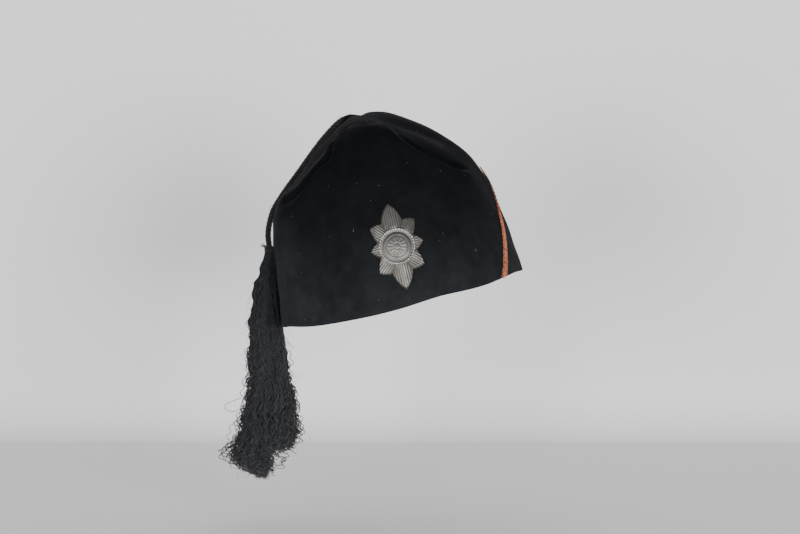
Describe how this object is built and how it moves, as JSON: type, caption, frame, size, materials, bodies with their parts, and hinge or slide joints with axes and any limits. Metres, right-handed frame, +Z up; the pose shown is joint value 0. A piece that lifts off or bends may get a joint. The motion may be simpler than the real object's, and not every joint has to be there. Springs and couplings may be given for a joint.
{
  "type": "fez",
  "caption": "Soft black felt fez, worn at a slant, with a cord and yarn tassel, a rayed metal badge at the front and a ribbon chevron on the side.",
  "frame": {"origin": "centre of the head opening, in the middle of the rim's oval", "axes": "+Z up as worn, the wearer faces -Y, +X is the wearer's left; the crown is slanted 13.2 degrees towards -X about Y"},
  "size_m": [0.1888, 0.196, 0.2374],
  "materials": {
    "felt": "napped, matt with a faint sheen at its edges",
    "cord": "twisted yarn, matt",
    "yarn": "crimped wool yarn, matt",
    "white_metal": "stamped, dull grey with rubbed bright high points",
    "ribbon": "ribbed ribbon, faded"
  },
  "bodies": {
    "root": {"crown": "felt", "crown_button": "felt", "tassel_cord": "cord", "tassel_binding": "yarn", "tassel_skirt": "yarn", "badge": "white_metal", "side_chevron": "ribbon"}
  },
  "joints": []
}
